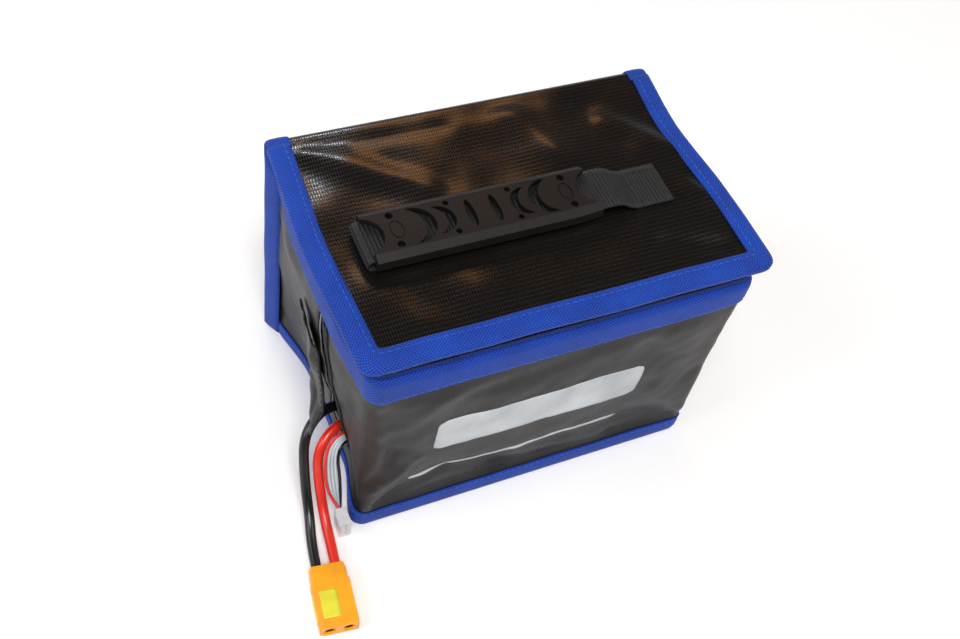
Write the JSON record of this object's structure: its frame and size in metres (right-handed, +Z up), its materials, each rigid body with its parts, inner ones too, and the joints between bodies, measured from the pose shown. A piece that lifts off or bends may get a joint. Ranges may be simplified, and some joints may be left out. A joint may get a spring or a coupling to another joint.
{
  "type": "battery charging bag with battery",
  "caption": "Padded rectangular bag with zipped hinged lid, carry handle and side cable port, holding a rechargeable pack whose power and balance leads come out of the port.",
  "frame": {"origin": "middle of the bag's base, on the surface it stands on", "axes": "+X along the bag's width (the port is in the left wall, at -X), +Y from the front to the hinged back, +Z up"},
  "size_m": [0.245, 0.1975, 0.1672],
  "materials": {
    "coated_fabric": "satin coated",
    "blue_binding": "woven",
    "stiffener_board": "matte",
    "foam_pad": "matte foam",
    "lining_fabric": "silvery woven glass cloth",
    "blue_zip_tape": "woven",
    "zip_coil": "satin",
    "dark_metal": "satin",
    "black_webbing": "ribbed",
    "grip_rubber": "matte",
    "hook_and_loop": "fuzzy",
    "battery_sleeve": "gloss",
    "battery_cap": "matte",
    "pouch_foil": "satin",
    "tab_metal": "satin",
    "circuit_board": "satin",
    "lead_black": "satin silicone",
    "lead_red": "satin silicone",
    "lead_white": "satin silicone",
    "white_nylon": "satin",
    "connector_nylon": "satin",
    "gold_contact": "polished"
  },
  "bodies": {
    "bag": {"bottom_panel": "coated_fabric", "bottom_binding": "blue_binding", "base_board": "stiffener_board", "outer_skin": "coated_fabric", "back_panel": "coated_fabric", "front_pad": "foam_pad", "back_pad": "foam_pad", "right_pad": "foam_pad", "left_pad": "foam_pad", "lining": "lining_fabric", "body_top_binding": "blue_binding", "rear_edge_binding_left": "blue_binding", "rear_edge_binding_right": "blue_binding", "lid_fold": "coated_fabric", "zip_tape_lower": "blue_zip_tape", "zip_coil_lower": "zip_coil", "zip_stops": "dark_metal", "port_hook_tape": "hook_and_loop", "battery_wrap": "battery_sleeve", "lead_end_cap": "battery_cap", "cell_1": "pouch_foil", "cell_2": "pouch_foil", "cell_3": "pouch_foil", "cell_4": "pouch_foil", "cell_spacers": "foam_pad", "cell_tabs": "tab_metal", "balance_board": "circuit_board", "main_lead_black": "lead_black", "main_lead_red": "lead_red", "balance_wire_1": "lead_black", "balance_wire_2": "lead_white", "balance_wire_3": "lead_white", "balance_wire_4": "lead_white", "balance_wire_5": "lead_red", "balance_plug": "white_nylon", "balance_terminals": "tab_metal", "connector_cap": "connector_nylon", "connector_housing": "connector_nylon", "connector_sockets": "gold_contact"},
    "lid": {"lid_skin": "coated_fabric", "lid_pad": "foam_pad", "lid_lining": "lining_fabric", "lid_binding": "blue_binding", "zip_tape_upper": "blue_zip_tape", "zip_coil_upper": "zip_coil", "strap_tab_left": "black_webbing", "strap_tab_right": "black_webbing"},
    "handle": {"handle_strap": "black_webbing"},
    "grip": {"handle_grip": "grip_rubber"},
    "zip_slider": {"zip_slider": "dark_metal"},
    "zip_pull": {"zip_pull": "dark_metal"},
    "port_flap": {"port_flap": "coated_fabric", "flap_loop_tape": "hook_and_loop"}
  },
  "joints": [
    {"name": "lid_hinge", "type": "hinge", "parent": "bag", "child": "lid", "pos_m": [0, 0.0715, 0.154], "axis": [-1, 0, 0], "range_deg": [0, 205], "deforming": ["lid_fold"]},
    {"name": "handle_lift", "type": "slide", "parent": "lid", "child": "handle", "axis": [0, 0, 1], "range_m": [0, 0.01], "deforming": ["handle_strap"]},
    {"name": "grip_slide", "type": "slide", "parent": "handle", "child": "grip", "axis": [1, 0, 0], "range_m": [0, 0.008], "deforming": ["handle_strap"]},
    {"name": "zip_run", "type": "slide", "parent": "bag", "child": "zip_slider", "axis": [0, -1, 0], "range_m": [0, 0.11]},
    {"name": "pull_swing", "type": "hinge", "parent": "zip_slider", "child": "zip_pull", "pos_m": [0.1035, 0.057, 0.147], "axis": [0, -1, 0], "range_deg": [0, 90]},
    {"name": "flap_hinge", "type": "hinge", "parent": "bag", "child": "port_flap", "pos_m": [-0.1025, -0.004, 0.048], "axis": [0, -0.2756, -0.9613], "range_deg": [0, 100]}
  ]
}
